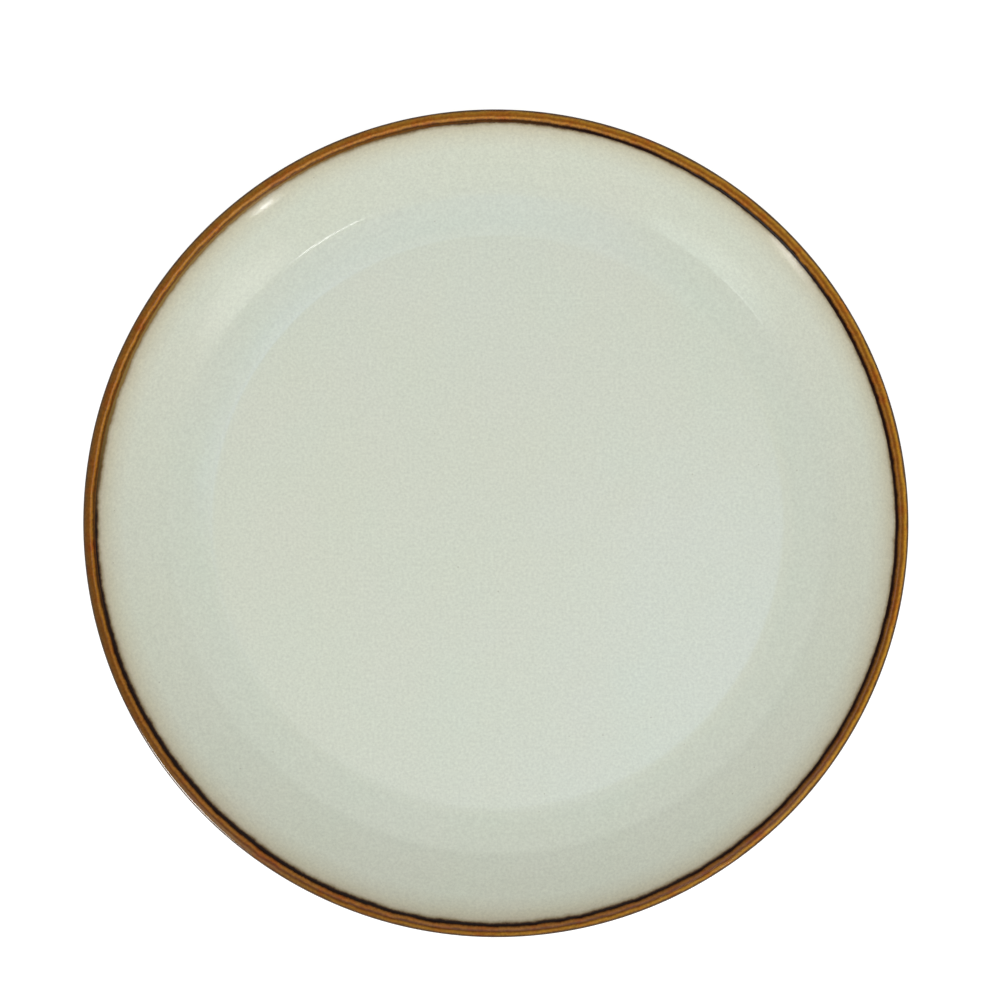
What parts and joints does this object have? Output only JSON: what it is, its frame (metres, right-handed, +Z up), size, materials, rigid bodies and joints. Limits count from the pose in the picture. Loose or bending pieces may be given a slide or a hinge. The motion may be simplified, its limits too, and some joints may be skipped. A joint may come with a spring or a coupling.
{
  "type": "dinner plate",
  "caption": "Coupe-shaped dinner plate with a pale glossy face, a brown glazed band round its lip, and a bare foot ring that it stands on.",
  "frame": {"origin": "centre of the circle that the foot ring stands on, at the bottom of the plate", "axes": "+Z up, along the plate's axis; the plate is the same all round it, so +X and +Y are any two directions across it"},
  "size_m": [0.27, 0.27, 0.0268],
  "materials": {
    "bare_clay": "matte",
    "celadon_glaze": "gloss",
    "brown_glaze": "gloss"
  },
  "bodies": {
    "root": {"clay_body": "bare_clay", "face_glaze": "celadon_glaze", "rim_band_glaze": "brown_glaze", "underside_glaze": "celadon_glaze", "foot_recess_glaze": "celadon_glaze"}
  },
  "joints": []
}
